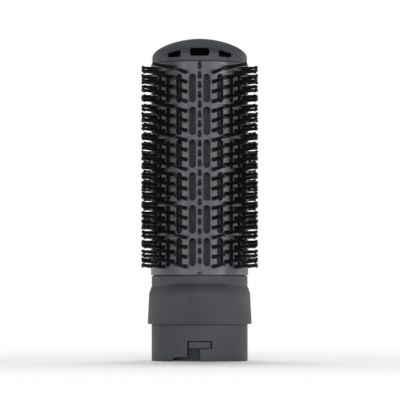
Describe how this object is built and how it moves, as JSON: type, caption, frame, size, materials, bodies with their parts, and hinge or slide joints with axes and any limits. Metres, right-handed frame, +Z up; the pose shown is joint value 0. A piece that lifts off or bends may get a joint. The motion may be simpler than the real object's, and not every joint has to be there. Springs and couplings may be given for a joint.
{
  "type": "hot air brush head",
  "caption": "Oval perforated brush head for a hot air styler: bristled sleeve, vented dome cap, and a round bayonet socket that a handle's collar slides over.",
  "frame": {"origin": "centre of the bottom of the bounding box, on the socket's rim and on the head's axis", "axes": "+Z up the head's axis from the socket to the cap; the narrow end of the oval, with the lug track seen from the front, faces -Y; +X to its right"},
  "size_m": [0.0668, 0.1026, 0.1835],
  "materials": {
    "housing": "fine matte, charcoal",
    "sleeve": "satin coated, grey",
    "pins": "satin nylon, black",
    "duct": "matte, heat resistant",
    "liner": "matte, grey",
    "grille": "matte, dark"
  },
  "bodies": {
    "root": {"barrel_sleeve": "sleeve", "strip_front": "pins", "strip_rear": "pins", "strip_front_right_1": "pins", "strip_rear_right_1": "pins", "strip_rear_left_1": "pins", "strip_front_left_1": "pins", "strip_front_right_2": "pins", "strip_rear_right_2": "pins", "strip_rear_left_2": "pins", "strip_front_left_2": "pins", "strip_front_right_3": "pins", "strip_rear_right_3": "pins", "strip_rear_left_3": "pins", "strip_front_left_3": "pins", "strip_front_right_4": "pins", "strip_rear_right_4": "pins", "strip_rear_left_4": "pins", "strip_front_left_4": "pins", "strip_right": "pins", "strip_left": "pins", "air_duct": "duct", "strip_ring_1": "duct", "strip_ring_2": "duct", "strip_ring_3": "duct", "duct_baffle": "duct", "collar": "housing", "bayonet_socket": "housing", "socket_liner": "liner", "end_cap": "housing", "vent_grille_front": "grille", "vent_grille_rear": "grille"}
  },
  "joints": []
}
